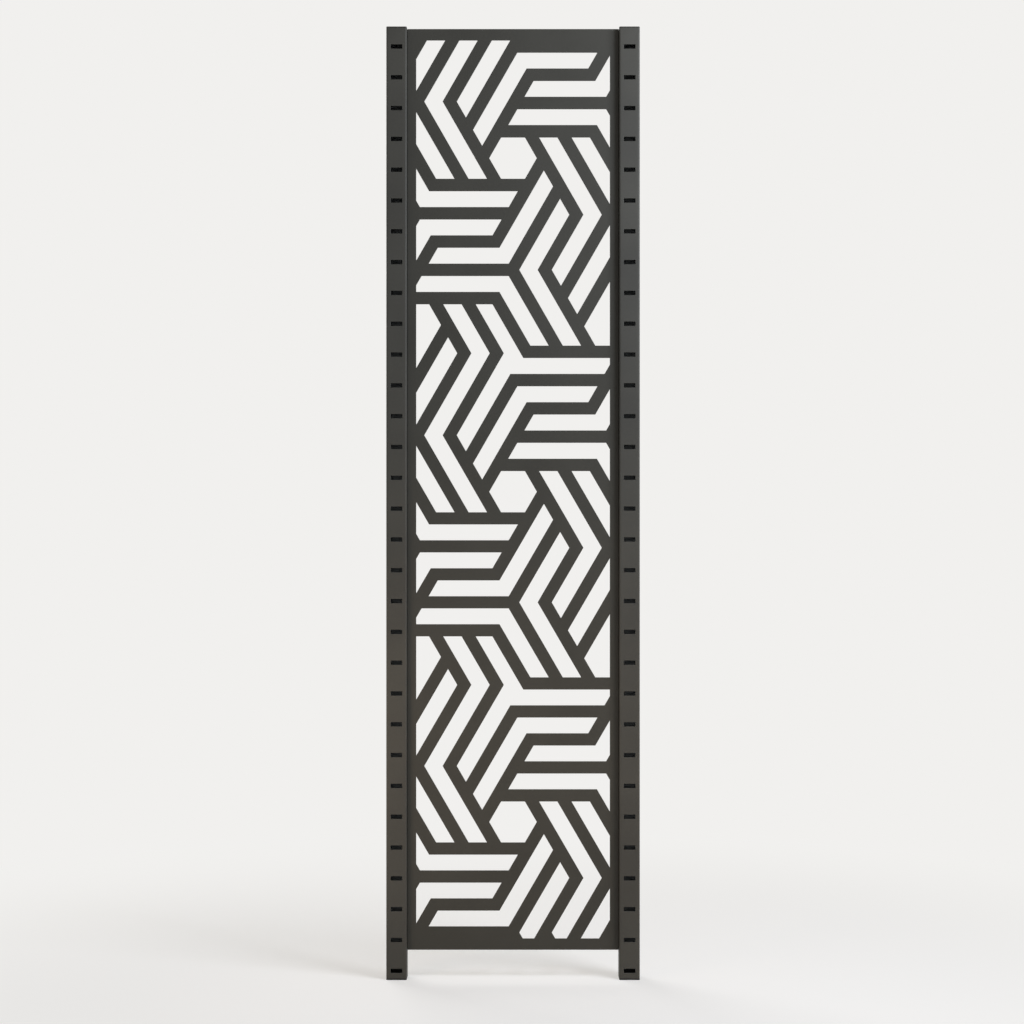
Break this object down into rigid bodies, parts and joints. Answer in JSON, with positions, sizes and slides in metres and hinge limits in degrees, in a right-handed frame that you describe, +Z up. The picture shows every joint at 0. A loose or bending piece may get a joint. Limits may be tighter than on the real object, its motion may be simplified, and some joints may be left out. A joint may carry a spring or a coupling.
{
  "type": "laser cut metal screen",
  "caption": "Tall narrow room divider of powder coated steel: a sheet laser cut with a lattice of sloping bars and hexagons, held between slotted square tube posts.",
  "frame": {"origin": "on the floor, midway between the two posts and midway in their depth", "axes": "+Z up along the posts, -Y towards the viewer (front), +X to the viewer's right"},
  "size_m": [0.494, 0.04, 1.857],
  "materials": {
    "panel_coat": "matt fine texture powder coat on laser cut steel sheet, dark warm grey",
    "post_coat": "matt fine texture powder coat on square steel tube, dark warm grey",
    "cap_plastic": "moulded polypropylene, dark grey, fine matt grain",
    "foot_plastic": "moulded black polyamide, fine matt grain",
    "zinc_plate": "bright zinc plated steel",
    "screw_zinc": "zinc plated steel, rolled thread and formed head"
  },
  "bodies": {
    "root": {"screen_panel": "panel_coat", "left_edge_bar": "panel_coat", "right_edge_bar": "panel_coat", "left_welds": "panel_coat", "right_welds": "panel_coat", "left_post": "post_coat", "right_post": "post_coat", "left_top_cap": "cap_plastic", "right_top_cap": "cap_plastic", "left_foot": "foot_plastic", "right_foot": "foot_plastic", "left_rivet_nut_1": "zinc_plate", "left_rivet_nut_2": "zinc_plate", "left_rivet_nut_3": "zinc_plate", "left_rivet_nut_4": "zinc_plate", "left_rivet_nut_5": "zinc_plate", "right_rivet_nut_1": "zinc_plate", "right_rivet_nut_2": "zinc_plate", "right_rivet_nut_3": "zinc_plate", "right_rivet_nut_4": "zinc_plate", "right_rivet_nut_5": "zinc_plate", "left_washer_1": "zinc_plate", "left_washer_2": "zinc_plate", "left_washer_3": "zinc_plate", "left_washer_4": "zinc_plate", "left_washer_5": "zinc_plate", "right_washer_1": "zinc_plate", "right_washer_2": "zinc_plate", "right_washer_3": "zinc_plate", "right_washer_4": "zinc_plate", "right_washer_5": "zinc_plate", "left_screw_1": "screw_zinc", "left_screw_2": "screw_zinc", "left_screw_3": "screw_zinc", "left_screw_4": "screw_zinc", "left_screw_5": "screw_zinc", "right_screw_1": "screw_zinc", "right_screw_2": "screw_zinc", "right_screw_3": "screw_zinc", "right_screw_4": "screw_zinc", "right_screw_5": "screw_zinc"}
  },
  "joints": []
}
